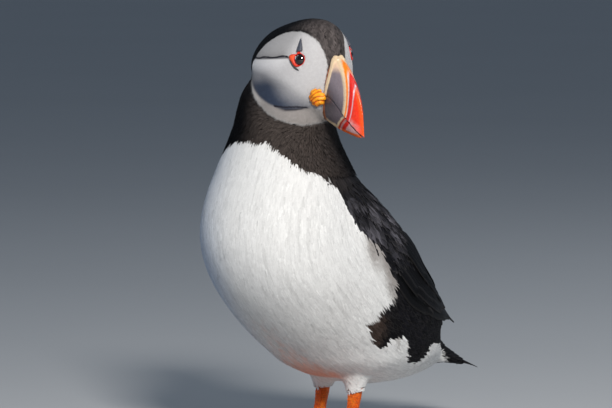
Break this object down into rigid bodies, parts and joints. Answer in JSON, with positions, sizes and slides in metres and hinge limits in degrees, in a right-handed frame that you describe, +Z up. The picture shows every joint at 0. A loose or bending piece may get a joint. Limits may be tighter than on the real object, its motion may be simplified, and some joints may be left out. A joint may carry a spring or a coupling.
{
  "type": "atlantic puffin",
  "caption": "Life-size standing puffin in summer plumage, upright, with its head turned over its left shoulder and its wings folded.",
  "frame": {"origin": "on the floor, at the middle of the whole bird's box seen from above", "axes": "+Z up, the body faces -Y and the bird's left is +X"},
  "size_m": [0.1034, 0.1756, 0.2088],
  "materials": {
    "plumage_white": "soft matt white feathers",
    "plumage_black": "matt black feathers with a slight sheen",
    "plumage_face": "short velvety pale grey feathers with a black crown",
    "bill_horn": "satin horn, banded slate, cream, orange and red",
    "rosette": "soft wrinkled orange-yellow skin",
    "eye": "wet and glossy, dark brown",
    "eye_ring": "bare orange-red skin",
    "eye_plate": "slate blue-grey horn",
    "leg_skin": "scaly orange-red skin",
    "claw_horn": "black horn"
  },
  "bodies": {
    "root": {"trunk": "plumage_white", "neck": "plumage_black", "head": "plumage_face", "tail": "plumage_black", "bill_upper": "bill_horn", "bill_lower": "bill_horn", "wing_left": "plumage_black", "thigh_left": "plumage_white", "shank_left": "leg_skin", "foot_left": "leg_skin", "claw_inner_left": "claw_horn", "claw_middle_left": "claw_horn", "claw_outer_left": "claw_horn", "eye_left": "eye", "eye_ring_left": "eye_ring", "eye_plate_upper_left": "eye_plate", "eye_plate_lower_left": "eye_plate", "gape_rosette_left": "rosette", "wing_right": "plumage_black", "thigh_right": "plumage_white", "shank_right": "leg_skin", "foot_right": "leg_skin", "claw_inner_right": "claw_horn", "claw_middle_right": "claw_horn", "claw_outer_right": "claw_horn", "eye_right": "eye", "eye_ring_right": "eye_ring", "eye_plate_upper_right": "eye_plate", "eye_plate_lower_right": "eye_plate", "gape_rosette_right": "rosette"}
  },
  "joints": []
}
